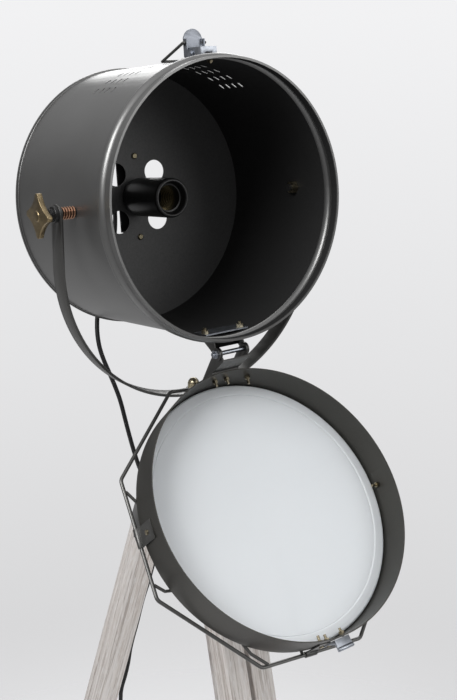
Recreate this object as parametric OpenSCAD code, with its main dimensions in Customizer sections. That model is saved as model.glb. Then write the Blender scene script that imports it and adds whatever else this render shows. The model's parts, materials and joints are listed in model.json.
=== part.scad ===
// Tripod floor lamp: a searchlight drum with a hinged glass door, tilting in a strip yoke
// that turns on a folding tripod of paired wooden battens.
// Millimetres. +Z is up, the head looks towards -Y, and the origin is on the floor below
// the middle of the footprint. Pieces of the head are drawn in (x, up, forward) coordinates.

/* [Stand] */
// Height of the tilt axis above the floor
pivot_z = 1290; // [1150:10:1400]
// Angle between a leg and the vertical
leg_splay = 14.9; // [12:0.1:18]
// Width of one batten, across the leg
batten_w = 26; // [22:1:30]
// Thickness of one batten, along the radius
batten_t = 30; // [26:1:34]
// Gap between the two battens of a leg
batten_gap = 8; // [6:1:10]
// Height of the rubber feet
foot_h = 10; // [6:1:16]
// Radius of the circle of leg pivots
fold_r = 38; // [38:1:44]
// Depth of the leg pivots below the tilt axis
fold_drop = 321; // [300:1:340]
// Length of leg above its pivot
leg_head = 16; // [14:1:17]
// Length of the steel sleeve below the pivot
sleeve_len = 75; // [65:1:110]
// Sheet of the sleeves
sleeve_t = 1.5; // [1:0.1:2]
// Radius of the leg pivot bolts
fold_bolt_r = 4; // [3:0.5:5]
// Radius of the bolts that clamp the sleeves
clamp_bolt_r = 3; // [2:0.5:4]
// Distance of the clamp bolts below the leg pivots
clamp_bolt_drop = 55; // [30:1:60]

/* [Hub] */
// Thickness of the hub plate
hub_t = 5; // [4:1:8]
// Radius of the centre post under the hub plate
hub_post_r = 12; // [10:0.5:13]
// Radius of the neck tube
neck_r = 11; // [9:0.5:13]
// Radius of the neck's top flange
neck_top_r = 14; // [13:1:18]
// Radius of the neck's foot flange
neck_foot_r = 24; // [20:1:30]
// Thickness of the neck's flanges
neck_flange_t = 4; // [3:0.5:6]
// Radius of the stud that the yoke turns on
pan_stud_r = 4; // [3:0.5:5]
// Thickness of the washers above and below the yoke
pan_washer_t = 1.6; // [1:0.1:2.5]

/* [Yoke] */
// Gap between the drum's wall and the middle of the yoke's strip
yoke_gap = 19.5; // [18:0.5:26]
// Width of the yoke's strip
yoke_w = 20; // [16:1:26]
// Thickness of the yoke's strip
yoke_t = 3; // [2:0.5:5]
// Length of the yoke's straight arms
yoke_arm = 56; // [50:1:80]
// Radius of the threaded tilt studs
stud_r = 4; // [3:0.5:4]
// Radius of the sleeve on each tilt stud
stem_r = 6.5; // [6:0.5:9]
// Length of the sleeve between the yoke and the knob
stem_len = 15.5; // [10:0.5:22]
// Side of the square knob plates
knob_side = 35; // [30:1:42]
// Thickness of the knob plates
knob_t = 5.5; // [3:0.5:7]

/* [Drum] */
// Outer radius of the drum's wall
drum_r = 148.5; // [146:0.5:150]
// Distance from the tilt axis to the front lip
drum_front = 75; // [72:1:80]
// Distance from the tilt axis to the rear edge
drum_rear = 129; // [120:1:135]
// Upward tilt of the head at rest
head_tilt = 6.3; // [3:0.1:8]
// Sheet of the drum and of its back plate
sheet = 1; // [0.8:0.1:1.2]
// Length of the front hem
lip_len = 9; // [6:0.5:10]
// Height of the front hem over the wall
lip_step = 1.5; // [1:0.1:2]
// Length of the rear hem
hem_len = 4; // [3:0.5:6]
// Height of the rear hem over the wall
hem_step = 2; // [1:0.1:3]
// Distance from the front lip to the middle of the bead
bead_back = 16; // [15.5:0.5:17]
// Half the width of the bead
bead_half = 7; // [5:0.5:7]
// Height of the bead over the wall
bead_h = 5; // [3:0.5:5]
// Length of a vent slot, around the drum
vent_len = 9; // [6:0.5:11]
// Width of a vent slot
vent_w = 3; // [2:0.5:5]
// Vent slots in each direction of a group
vent_n = 4; // [3:1:4]
// Angle from the top to a group's first slot
vent_start = 13.5; // [12:0.5:20]
// Angle between slots
vent_step = 7; // [6:0.5:9]
// Distance between rows of slots along the drum
vent_pitch = 12; // [9:0.5:14]

/* [Back plate and lampholder] */
// Depth of the back plate inside the rear edge
plate_inset = 14; // [12:0.5:20]
// Radius of the round holes in the back plate
plate_hole_r = 13.5; // [10:0.5:14]
// Sideways distance of those holes from the middle
plate_hole_x = 26.5; // [26:0.5:32]
// Vertical distance of those holes from the middle
plate_hole_up = 28; // [27:0.5:29]
// Distance of the strap screws from the middle
strap_screw_up = 48; // [47:0.5:56]
// Width of the strap
strap_w = 37; // [24:1:38]
// Sheet of the strap
strap_t = 1.5; // [1:0.1:2]
// Depth of the strap behind the back plate
strap_depth = 12; // [7:0.5:12.5]
// Outer radius of the lampholder
holder_r = 22.8; // [20:0.1:23.5]
// Length of the lampholder
holder_len = 76; // [60:1:80]
// Radius of the lampholder's mouth
mouth_r = 14.6; // [14.2:0.1:16]
// Depth of the lampholder's cavity
cavity_depth = 50; // [40:1:52]
// Outer radius of the threaded nipple
nipple_r = 5; // [4:0.5:6]

/* [Door] */
// Angle that the door hangs open
door_open = 144.5; // [130:0.5:146]
// Gap between the drum's lip and the closed door
door_gap = 1; // [0.5:0.1:1.5]
// Depth of the door's ring
ring_depth = 43; // [41:0.5:50]
// Overhang of the ring over the drum's wall
ring_over = 4; // [3:0.5:5]
// Narrowing of the ring towards its outer face
ring_taper = 1.5; // [0:0.1:2]
// Sheet of the ring
ring_t = 1.2; // [0.8:0.1:1.5]
// Width of the lip that holds the glass
ring_lip_w = 8; // [5:0.5:10]
// Thickness of the glass at its rim
glass_rim_t = 6; // [4:0.5:8]
// Width of the glass's raised rim
glass_rim_w = 13; // [9:0.5:16]
// Thickness of the glass inside its rim
glass_t = 4; // [3:0.5:5]
// Depth at which the ring's screws sit, from the edge that closes on the drum
screw_depth = 28; // [20:0.5:29]

/* [Guard] */
// Distance of the guard's corners outside the ring
guard_over = 14.5; // [13.5:0.5:17]
// Angle of the guard's first corner
guard_turn = 28; // [20:1:35]
// Radius of the guard's wire
wire_r = 2; // [1.5:0.1:2.2]
// Radius of the guard's bends
wire_bend = 8; // [5:1:12]
// Sideways place of the guard's upright wire
upright_x = 8; // [0:1:14]
// Place of the guard's level wire below the middle
level_drop = 34; // [30:1:38]

/* [Hinge] */
// Distance of the hinge pin behind the drum's front lip
hinge_back = 21; // [19:0.5:23]
// Distance of the hinge pin below the ring
hinge_below = 13; // [11.5:0.5:14.5]
// Radius of the hinge pin
hinge_pin_r = 2.5; // [2:0.1:3]
// Radius of the hinge's ears
hinge_ear_r = 7; // [6:0.5:7.5]
// Outer width of the door's leaf
leaf_w = 35.5; // [30:0.5:37]
// Sheet of the hinge parts
hinge_t = 1.5; // [1.2:0.1:1.8]

/* [Latch] */
// Width of the latch block
block_w = 20.6; // [18:0.1:22]
// Height of the latch block over its strip
block_h = 11; // [10:0.5:11.5]
// Length of the latch block
block_len = 24.5; // [22:0.5:26]
// Width of the arch in the block's front
arch_w = 11; // [8:0.5:13]
// Height of the lever over the drum's wall
lever_top = 33; // [30:0.5:38]
// Reach of the bail from its pivots to its bar
bail_len = 46; // [45.6:0.1:46.4]
// Radius of the bail's wire
bail_wire_r = 1.6; // [1.3:0.1:1.8]
// Width of the keeper on the door
keeper_w = 19.6; // [14:0.1:20]
// Height of the keeper over the ring
keeper_h = 12.5; // [11.5:0.5:15]

/* [Flex] */
// Radius of the flex
flex_r = 2.75; // [2.5:0.05:3]
// Length of the switch in the flex
switch_len = 60; // [50:1:70]

/* [Hidden] */

// Clearances
run_fit = 0.05;     // a shaft turning in its bore
part_gap = 0.3;     // faces of pieces that move past each other
face_gap = 0.15;    // flat faces that rub
screw_fit = 0.1;    // a screw in its hole
skin = 0.02;        // between a round piece and the round wall it lies on
cut = 1;            // how far a cutting shape runs past a face

// Colours
GUNMETAL = "#5c5a55";
BLACK = "#161616";
ZINC = "#a9afb9";
BRASS = "#b79a55";
BRONZE = "#7d6a45";
COPPER = "#a86f4e";
WOOD = "#b9aca3";
FROST = "#dfe7ea";
RUBBER = "#222222";

// ---- Stand ----
LEG_TURNS = [-90, 30, 150];
leg_w = 2 * batten_w + batten_gap;
fold_z = pivot_z - fold_drop;
foot_r = fold_r + (fold_z - foot_h) * tan(leg_splay);
foot_half = batten_t / 2 / cos(leg_splay);
// The feet's box is centred on the origin
stand_y = (foot_r + foot_half - leg_w * cos(30)) / 4;
leg_len = (fold_z - foot_h) / cos(leg_splay);
sleeve_half = leg_w / 2 + sleeve_t;
// The sleeve's outer top corner rests against the hub plate when the legs are out
hub_bottom = fold_z + (batten_t / 2 + sleeve_t) * sin(leg_splay)
    + leg_head * cos(leg_splay) + part_gap;
hub_top = hub_bottom + hub_t;
tongue_t = batten_gap - 2 * part_gap;
tongue_ear_r = leg_head - 6;
hub_r = fold_r + leg_head;
post_len = 40;
yoke_r = drum_r + yoke_gap;
yoke_in = yoke_r - yoke_t / 2;
yoke_out = yoke_r + yoke_t / 2;
yoke_floor = pivot_z - yoke_arm - yoke_r;
neck_top = yoke_floor - yoke_t / 2 - face_gap - pan_washer_t;
nut_h = 6.5;
hex_af = 13;
// The strip rises towards the edge of the round washer on it
pan_washer_r = 9;
pan_seat = yoke_floor + yoke_t / 2 + face_gap + pan_washer_r * pan_washer_r / 2 / yoke_in;
acorn_rise = 6;

// ---- Drum ----
wall_in = drum_r - sheet;
bead_at = drum_front - bead_back;
bead_arc_r = (bead_half * bead_half + bead_h * bead_h) / (2 * bead_h);
bead_mid_r = drum_r + bead_h - bead_arc_r;
plate_at = plate_inset - drum_rear;
plate_back = plate_at - sheet;
strap_back = plate_back - strap_depth;
strap_foot = 8;
gland_nut_h = 4;
gland_len = 14;
gland_end = strap_back - gland_nut_h - gland_len;
screw_r = 2;
holder_front = plate_at + holder_len;
cavity_floor = holder_front - cavity_depth;
pivot_nut_h = 6.5;
pivot_nut_out = wall_in - 0.25;
spring_wire = 1.1;
spring_turns = 5.1;
collar_t = 4;
boss_t = 3.5;

// ---- Latch ----
strip_t = 1.5;
strip_w = 18;
small_r = 1.5;
small_nut = 5.5;
small_nut_t = 3;
block_front = drum_front - 26;
block_rear = block_front - block_len;
strip_rear = block_rear - 29.5;
block_t = 1.5;
strip_top = drum_r + skin + strip_t;
pin_up = strip_top + 4.5;
pin_fwd = block_front - 17;
lever_t = 1.6;
lever_rear = pin_fwd - 12;
ear_in = block_w / 2 + part_gap;
ear_out = ear_in + 1.4;
bail_up = pin_up + 12.5;
bail_fwd = lever_rear + 3.5;
bail_half = ear_out + part_gap + bail_wire_r;
// The bail's bar rests just over the drum
bail_drop = bail_up - drum_r - bail_wire_r - part_gap;
bail_rest = asin(bail_drop / bail_len);
latch_screws_at = [[5, block_front - 6], [-5, strip_rear + 13]];
latch_screw_len = 6.5;

// ---- Hinge ----
ring_r = drum_r + ring_over;
hinge_fwd = drum_front - hinge_back;
hinge_drop = ring_r + hinge_below;
bracket_in = leaf_w / 2 + 2 * part_gap;
bracket_out = bracket_in + hinge_t;
bracket_rear = 24;
bracket_front = bead_at - bead_half - 2.5;
hinge_screw_x = bracket_out + 4;
hinge_screw_fwd = bracket_front - 9;
bracket_half = hinge_screw_x + 5;
// Radius of the middle of the bracket's curved base, and its level at the cheeks
bracket_base_r = drum_r + skin + hinge_t / 2;
cheek_up = -sqrt(bracket_base_r * bracket_base_r - bracket_out * bracket_out);
// A flat plate inside the drum bears on its two edges
backing_half = hinge_screw_x + 4.5;
backing_up = -sqrt(wall_in * wall_in - backing_half * backing_half) + skin;
// How far the bracket's rear web runs down the cheeks
web_share = 0.78;

// ---- Door ----
ring_face = drum_front + door_gap;
ring_out = ring_r - ring_taper;
glass_back = ring_depth - ring_t;
glass_front = glass_back - glass_rim_t;
glass_r = ring_out - ring_t - 0.8;
guard_r = ring_r + guard_over;
guard_depth = ring_depth + wire_r + 2;
keeper_t = 2;
keeper_base_t = 1.5;
keeper_at = 9.9;
leaf_base_t = 2;
leaf_joggle = 1.6;
leaf_end = 104;
pin_head_t = 3;
ring_screw_len = 11.5;
// Places of the ring's screws: angles from +X, or distances from the middle
HOLDER_TURNS = [283.5];
holder_depth = 17;
// The guard's sides that have clips, with each clip's two ends along its side in half widths
clip_half = 10;
CLIPS = [[1, -0.42, 0.98], [3, -1, 1], [7, -1, 1]];
KEEPER_SCREWS = [-5.5, 15.5];
keeper_base_w = 19;
LEAF_SCREW_X = 8;
weld = 0.4;
clip_t = 1.2;
clip_start = 16;

// ---- Switch and plug ----
switch_cone = 8;
rocker_w = 8;
rocker_h = 16;
switch_w = 20;
switch_d = 16;
rocker_at = -switch_d / 2 + 1.5;
plug_len = 34;
plug_boot = 16;
plug_half = 13;
pin_pitch = 18.6;

// ---- Flex: route points, in order from the gland to the plug ----
FLEX_UPPER = [
    [4, 237, 1240], [1, 234, 1224], [-5, 230.5, 1209], [-12.5, 227, 1193], [-20.5, 223, 1178],
    [-28.5, 218.5, 1162], [-36, 213.5, 1146], [-42, 208, 1129], [-45.5, 203, 1112],
    [-46, 198, 1095], [-43, 194, 1079], [-37.5, 190.5, 1062], [-31, 188, 1043], [-25, 186, 1023],
    [-18.5, 185, 994], [-10.5, 184, 961], [-2, 184, 933], [2, 184, 924], [7, 184, 918],
    [14.5, 184, 912], [20, 184, 905], [23, 184, 898]
];
flex_bend_r = 25;
flex_lean = 10;
SWITCH_TOP = [24, 184, 886];
FLEX_LOWER = [
    [20, 184, 797], [10, 184, 768], [0, 184, 743], [-9, 184, 714],
    [-19, 184, 684], [-24, 184, 660], [-29, 184, 643], [-35, 184, 626], [-37, 184, 606],
    [-38, 185, 540], [-36, 188, 400], [-33, 189, 240], [-34, 180, 100], [-44, 166, 30],
    [-64, 154, 8], [-84, 157, 4], [-95, 171, 4], [-98, 188, 4]
];
COIL_AT = [-62, 196, 0];
coil_r = 5.5 * 2 * flex_r;
coil_half = 3 * flex_r;
coil_h = 8 * flex_r;
coil_lift = 1;
FLEX_TAIL = [
    [-29, 196, 20], [-28, 187, 18], [-24, 178, 12], [-16, 171, 8], [-4, 168, 7], [6, 168, 7]
];
PLUG_TURN = 0;

// ======== Frames ========

// (x, up, forward) about the tilt axis, level
module level_frame() {
    translate([0, stand_y, pivot_z]) rotate([90, 0, 0]) children();
}

// (x, up, forward) in the tilted head
module head_frame() {
    translate([0, stand_y, pivot_z]) rotate([90 - head_tilt, 0, 0]) children();
}

// (x, up, forward) of the closed door, swung open about the hinge pin
module door_frame() {
    head_frame()
        translate([0, -hinge_drop, hinge_fwd]) rotate([door_open, 0, 0])
        translate([0, hinge_drop, -hinge_fwd]) children();
}

// Depth along the door, from the edge that closes on the drum
module in_ring() {
    door_frame() translate([0, 0, ring_face]) children();
}

// x outwards along the radius, z up along the leg, from the leg's pivot
module leg_frame(i) {
    translate([0, stand_y, 0]) rotate([0, 0, LEG_TURNS[i - 1]])
        translate([fold_r, 0, fold_z]) rotate([0, -leg_splay, 0]) children();
}

module about_axis() {
    translate([0, stand_y, 0]) children();
}

// ======== Shared shapes ========

module hex_nut(af, h, bore_r) {
    difference() {
        cylinder(h = h, r = af / 2 / cos(30), $fn = 6);
        translate([0, 0, -cut]) cylinder(h = h + 2 * cut, r = bore_r, $fn = 32);
    }
}

// A pan-head screw: its seat is at z = 0 and its shank runs down
module pan_screw(r, length) {
    translate([0, 0, -length]) cylinder(h = length, r = r, $fn = 24);
    cylinder(h = r * 0.7, r = r * 1.8, $fn = 32);
    translate([0, 0, r * 0.7]) cylinder(h = r * 0.3, r1 = r * 1.8, r2 = r * 1.3, $fn = 32);
}

module slot_2d(length, width) {
    square([width, length - width], center = true);
    for (s = [-1, 1]) translate([0, s * (length - width) / 2]) circle(r = width / 2, $fn = 24);
}

// Outer radius of the ring at a depth
function ring_wall_at(depth) = ring_r - ring_taper * depth / ring_depth;

// Turn of the middle of one of the guard's sides
function side_turn(k) = guard_turn + 22.5 + 45 * k;

// ======== Drum ========

module drum_profile() {
    difference() {
        union() {
            translate([wall_in, -drum_rear]) square([sheet, drum_rear + drum_front]);
            translate([wall_in, drum_front - lip_len]) square([sheet + lip_step, lip_len]);
            translate([wall_in, -drum_rear]) square([sheet + hem_step, hem_len - hem_step / 2]);
            translate([drum_r, hem_len - hem_step / 2 - drum_rear])
                circle(r = hem_step / 2, $fn = 24);
            intersection() {
                translate([bead_mid_r, bead_at]) circle(r = bead_arc_r, $fn = 64);
                translate([wall_in, bead_at - bead_half * 2]) square([bead_half * 2, bead_half * 4]);
            }
        }
        translate([bead_mid_r, bead_at]) circle(r = bead_arc_r - sheet, $fn = 64);
    }
}

module vent_slots() {
    for (side = [-1, 1], i = [0:vent_n - 1], j = [0:vent_n - 1])
        rotate([0, 0, 90 - side * (vent_start + i * vent_step)])
            translate([wall_in - cut, 0, 2 - (j + 1) * vent_pitch])
            rotate([0, 90, 0]) linear_extrude(sheet + 2 * cut)
            slot_2d(vent_len, vent_w);
}

module drum_shell() {
    color(GUNMETAL) head_frame() difference() {
        rotate_extrude($fn = 180) drum_profile();
        vent_slots();
        translate([-drum_r - cut, 0, 0]) rotate([0, 90, 0])
            cylinder(h = 2 * (drum_r + cut), r = stud_r + 2 * screw_fit, $fn = 32);
        for (p = latch_screws_at) translate([p[0], 0, p[1]]) rotate([-90, 0, 0])
            cylinder(h = drum_r + cut, r = small_r + screw_fit, $fn = 24);
        for (s = [-1, 1]) translate([s * hinge_screw_x, 0, hinge_screw_fwd]) rotate([90, 0, 0])
            cylinder(h = drum_r + cut, r = screw_r + screw_fit, $fn = 24);
    }
}

module back_plate() {
    color(GUNMETAL) head_frame() difference() {
        rotate_extrude($fn = 180) {
            translate([0, plate_back]) square([wall_in - skin, sheet]);
            translate([wall_in - skin - sheet, plate_back - plate_inset + 3])
                square([sheet, plate_inset - 3 + sheet]);
        }
        for (sx = [-1, 1], su = [-1, 1])
            translate([sx * plate_hole_x, su * plate_hole_up, plate_back - cut])
                cylinder(h = sheet + 2 * cut, r = plate_hole_r, $fn = 48);
        for (su = [-1, 1]) translate([0, su * strap_screw_up, plate_back - cut])
            cylinder(h = sheet + 2 * cut, r = screw_r + screw_fit, $fn = 24);
        translate([0, 0, plate_back - cut])
            cylinder(h = sheet + 2 * cut, r = nipple_r + screw_fit, $fn = 32);
    }
}

// A hat-shaped strap behind the plate, seen from the side as (forward, up)
module strap_side() {
    inner = strap_screw_up - strap_foot;
    for (s = [-1, 1]) {
        translate([plate_back - strap_t, s > 0 ? inner : -inner - 2 * strap_foot])
            square([strap_t, 2 * strap_foot]);
        translate([strap_back, s > 0 ? inner : -inner - strap_t])
            square([strap_depth, strap_t]);
    }
    translate([strap_back, -inner - strap_t]) square([strap_t, 2 * (inner + strap_t)]);
}

module lampholder_strap() {
    color(BLACK) head_frame() difference() {
        rotate([0, -90, 0]) linear_extrude(strap_w, center = true) strap_side();
        for (su = [-1, 1]) translate([0, su * strap_screw_up, strap_back - cut])
            cylinder(h = strap_depth + 2 * cut, r = screw_r + screw_fit, $fn = 24);
        translate([0, 0, strap_back - cut])
            cylinder(h = strap_t + 2 * cut, r = nipple_r + screw_fit, $fn = 32);
    }
}

module strap_screws() {
    color(BRASS) head_frame() for (su = [-1, 1]) translate([0, su * strap_screw_up, 0]) {
        translate([0, 0, plate_at]) pan_screw(screw_r, sheet + strap_t + 5);
        translate([0, 0, plate_back - strap_t - 3]) hex_nut(7, 3, screw_r + skin);
    }
}

module lampholder() {
    collar_r = holder_r - 2;
    color(BLACK) head_frame() rotate_extrude($fn = 64) polygon([
        [nipple_r + skin, plate_at], [collar_r - 1.5, plate_at], [collar_r, plate_at + 1.5],
        [collar_r, plate_at + 10], [holder_r - 0.6, plate_at + 11.4],
        [holder_r, plate_at + 12.5], [holder_r, holder_front - 3],
        [holder_r - 0.8, holder_front - 1], [holder_r - 2.2, holder_front],
        [holder_r - 3.4, holder_front], [holder_r - 4.4, holder_front - 1],
        [mouth_r + 1.4, holder_front - 8], [mouth_r, holder_front - 8.4],
        [mouth_r, cavity_floor], [nipple_r + skin, cavity_floor]
    ]);
}

// The threaded brass shell, its ribs standing for the turns of the thread
module lamp_contacts() {
    shell_r = mouth_r - skin;
    pitch = 3.6;
    turns = 7;
    shell_start = cavity_floor + 6;
    color(BRASS) head_frame() {
        rotate_extrude($fn = 64) difference() {
            translate([shell_r - 1.6, shell_start]) square([1.6, turns * pitch]);
            for (i = [0:turns - 1])
                translate([shell_r - 1.6, shell_start + (i + 0.5) * pitch])
                    circle(r = 1.1, $fn = 16);
        }
        translate([0, 0, cavity_floor]) cylinder(h = 2, r = 9, $fn = 32);
        translate([0, 0, cavity_floor + 2]) cylinder(h = 3, r = 3.5, $fn = 32);
    }
}

module lamp_nipple() {
    nipple_rear = strap_back - gland_nut_h - 3;
    color(ZINC) head_frame() {
        difference() {
            translate([0, 0, nipple_rear])
                cylinder(h = cavity_floor - 4 - nipple_rear, r = nipple_r - skin, $fn = 32);
            translate([0, 0, nipple_rear - cut])
                cylinder(h = cavity_floor - nipple_rear, r = nipple_r - 1.5, $fn = 32);
        }
        translate([0, 0, strap_back - gland_nut_h]) hex_nut(14, gland_nut_h, nipple_r);
    }
}

module cord_gland() {
    top = strap_back - gland_nut_h;
    color(BLACK) head_frame() rotate_extrude($fn = 48) polygon([
        [nipple_r + skin, top], [8, top], [8, top - 3.5], [7.2, top - 4.5],
        [flex_r + 1.4, gland_end + 0.6], [flex_r + 0.9, gland_end],
        [flex_r - 1.5, gland_end], [flex_r - 1.5, top - 3.2], [nipple_r + skin, top - 3.2]
    ]);
}

// ======== Tilt pivots ========

module pivot_nuts() {
    color(BRASS) head_frame() for (s = [-1, 1]) mirror([s < 0 ? 1 : 0, 0, 0])
        translate([pivot_nut_out - pivot_nut_h, 0, 0]) rotate([0, 90, 0])
            hex_nut(hex_af, pivot_nut_h, stud_r + run_fit);
}

// Rings of points around a path, each ring square to the path's direction
function unit(v) = v / norm(v);
function ring_of(p, d, side, r, n) =
    let (u = unit(side - (side * d) * d), w = cross(d, u))
    [for (k = [0:n - 1]) p + r * (cos(360 * k / n) * u + sin(360 * k / n) * w)];
function heading(path, i) =
    unit(path[min(i + 1, len(path) - 1)] - path[max(i - 1, 0)]);

// A closed tube along a list of points; side is a vector never parallel to it
module tube(path, r, n, side) {
    m = len(path);
    points = [for (i = [0:m - 1]) each ring_of(path[i], heading(path, i), side, r, n)];
    walls = [for (i = [0:m - 2], k = [0:n - 1])
        [i * n + k, (i + 1) * n + k, (i + 1) * n + (k + 1) % n, i * n + (k + 1) % n]];
    ends = [[for (k = [0:n - 1]) k], [for (k = [n - 1:-1:0]) (m - 1) * n + k]];
    polyhedron(points = points, faces = concat(walls, ends));
}

module pivot_springs() {
    inside = drum_r + 0.1 + spring_wire;
    outside = yoke_in - part_gap - spring_wire;
    mid_r = stud_r + 0.6 + spring_wire;
    steps = 10;
    total = spring_turns * steps;
    color(COPPER) head_frame() for (s = [-1, 1]) mirror([s < 0 ? 1 : 0, 0, 0])
        tube([for (i = [0:total]) [
            inside + (outside - inside) * i / total,
            mid_r * cos(360 * i / steps),
            mid_r * sin(360 * i / steps)]], spring_wire, 8, [1, 0, 0]);
}

module tilt_stud() {
    tip = pivot_nut_out - pivot_nut_h - 3;
    level_frame() {
        translate([tip, 0, 0]) rotate([0, 90, 0])
            cylinder(h = yoke_out + face_gap + stem_len + knob_t - 1 - tip, r = stud_r, $fn = 32);
        translate([yoke_out + face_gap, 0, 0]) rotate([0, 90, 0]) {
            cylinder(h = collar_t - 0.6, r = stem_r + 2, $fn = 48);
            translate([0, 0, collar_t - 0.6])
                cylinder(h = 0.6, r1 = stem_r + 2, r2 = stem_r + 1.4, $fn = 48);
            difference() {
                cylinder(h = stem_len - boss_t, r = stem_r, $fn = 48);
                for (i = [1:3]) translate([0, 0, collar_t + i * 1.9]) rotate_extrude($fn = 48)
                    translate([stem_r, 0]) circle(r = 0.6, $fn = 16);
            }
        }
    }
}

module stud_right() {
    color(BLACK) tilt_stud();
}

module stud_left() {
    color(BLACK) mirror([1, 0, 0]) tilt_stud();
}

// A square with rounded corners and sides hollowed to a shallow arc
module knob_2d() {
    half = knob_side / 2;
    round = 4;
    hollow = 3;
    flat = half - round;
    arc_r = (flat * flat + hollow * hollow) / (2 * hollow);
    difference() {
        union() {
            square([knob_side, 2 * flat], center = true);
            square([2 * flat, knob_side], center = true);
            for (sx = [-1, 1], sy = [-1, 1]) translate([sx * flat, sy * flat])
                circle(r = round, $fn = 32);
        }
        for (turn = [0:90:270]) rotate([0, 0, turn]) translate([half - hollow + arc_r, 0])
            circle(r = arc_r, $fn = 96);
    }
}

// The plate stands on its corner, a round boss on each face
module knob() {
    level_frame() translate([yoke_out + face_gap + stem_len, 0, 0]) rotate([0, 90, 0]) {
        difference() {
            union() {
                rotate([0, 0, 45]) linear_extrude(knob_t) knob_2d();
                translate([0, 0, -boss_t]) cylinder(h = boss_t + cut, r1 = 7.4, r2 = 8.2, $fn = 48);
            }
            translate([0, 0, -boss_t - cut])
                cylinder(h = boss_t + knob_t - 1 + cut, r = stud_r + skin, $fn = 32);
        }
        translate([0, 0, knob_t]) cylinder(h = 1.2, r1 = 6, r2 = 5, $fn = 48);
    }
}

module knob_right() {
    color(BRONZE) knob();
}

module knob_left() {
    color(BRONZE) mirror([1, 0, 0]) knob();
}

// ======== Yoke ========

module yoke() {
    color(GUNMETAL) level_frame() difference() {
        union() {
            linear_extrude(yoke_w, center = true) translate([0, -yoke_arm]) intersection() {
                difference() {
                    circle(r = yoke_out, $fn = 180);
                    circle(r = yoke_in, $fn = 180);
                }
                translate([-2 * yoke_r, -2 * yoke_r]) square([4 * yoke_r, 2 * yoke_r]);
            }
            for (s = [-1, 1]) translate([s * yoke_r - yoke_t / 2, 0, 0])
                rotate([90, 0, 90]) linear_extrude(yoke_t) {
                    circle(r = yoke_w / 2, $fn = 48);
                    translate([-yoke_arm, -yoke_w / 2]) square([yoke_arm, yoke_w]);
                }
        }
        translate([-yoke_out - cut, 0, 0]) rotate([0, 90, 0])
            cylinder(h = 2 * (yoke_out + cut), r = stud_r + run_fit, $fn = 48);
        translate([0, -yoke_arm - yoke_out - cut, 0]) rotate([-90, 0, 0])
            cylinder(h = yoke_t + 4 * cut, r = pan_stud_r + run_fit, $fn = 48);
    }
}

// ======== Latch on the drum ========

module arch_2d() {
    square([arch_w, 2 * (strip_t + 1)], center = true);
    translate([0, strip_t + 1]) intersection() {
        translate([0, -1]) circle(r = arch_w / 2, $fn = 32);
        translate([-arch_w / 2, 0]) square([arch_w, 3]);
    }
}

module latch_base() {
    color(ZINC) head_frame() difference() {
        union() {
            translate([-strip_w / 2, drum_r + skin, strip_rear])
                cube([strip_w, strip_t, block_front - strip_rear]);
            difference() {
                translate([-block_w / 2, strip_top, block_rear])
                    cube([block_w, block_h, block_len]);
                translate([block_t - block_w / 2, strip_top - cut, block_rear - cut])
                    cube([block_w - 2 * block_t, block_h - block_t + cut,
                        block_len - block_t + cut]);
                translate([0, strip_top, block_front - block_t - cut])
                    linear_extrude(block_t + 2 * cut) arch_2d();
            }
            // Rivet head on the block's top
            translate([0, strip_top + block_h, pin_fwd + 3]) rotate([-90, 0, 0])
                cylinder(h = 1.4, r1 = 2.6, r2 = 1.6, $fn = 24);
        }
        translate([-block_w, pin_up, pin_fwd]) rotate([0, 90, 0])
            cylinder(h = 2 * block_w, r = small_r + run_fit, $fn = 24);
        for (p = latch_screws_at) translate([p[0], drum_r - cut, p[1]]) rotate([-90, 0, 0])
            cylinder(h = strip_t + 2 * cut, r = small_r + screw_fit, $fn = 24);
    }
}

module latch_screws() {
    nut_seat = wall_in - 0.5;
    color(BRASS) head_frame() for (p = latch_screws_at) {
        translate([p[0], strip_top, p[1]]) rotate([-90, 0, 0])
            pan_screw(small_r, latch_screw_len);
        translate([p[0], nut_seat, p[1]]) rotate([90, 0, 0]) hex_nut(small_nut, 2.6, small_r + skin);
    }
}

// The lever's side, as (up, forward)
module lever_ear_2d() {
    difference() {
        union() {
            translate([pin_up - 3, lever_rear]) square([bail_up + 4 - pin_up + 3, 6.5]);
            polygon([
                [pin_up - 4, pin_fwd], [pin_up - 3, lever_rear],
                [pin_up + 5, lever_rear + 6], [pin_up + 4, pin_fwd]
            ]);
            translate([pin_up, pin_fwd]) circle(r = 4, $fn = 32);
        }
        translate([pin_up, pin_fwd]) circle(r = small_r + run_fit, $fn = 32);
        translate([bail_up, bail_fwd]) circle(r = bail_wire_r + run_fit, $fn = 32);
    }
}

module latch_lever() {
    tip = drum_r + lever_top;
    foot = pin_up + 2.5;
    round = ear_out;
    color(ZINC) head_frame() {
        translate([0, 0, lever_rear]) linear_extrude(lever_t) {
            translate([-ear_out, foot]) square([2 * ear_out, tip - foot - round + 3]);
            intersection() {
                translate([0, tip - round]) circle(r = round, $fn = 64);
                translate([-round, foot]) square([2 * round, tip]);
            }
        }
        for (s = [-1, 1]) translate([s > 0 ? ear_in : -ear_out, 0, 0])
            rotate([90, 0, 90]) linear_extrude(ear_out - ear_in) lever_ear_2d();
    }
}

module latch_lever_pin() {
    color(ZINC) head_frame() translate([-ear_out, pin_up, pin_fwd]) rotate([0, 90, 0]) {
        cylinder(h = 2 * ear_out, r = small_r, $fn = 24);
        for (z = [-1, 2 * ear_out]) translate([0, 0, z]) cylinder(h = 1, r = 2.6, $fn = 24);
    }
}

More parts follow.
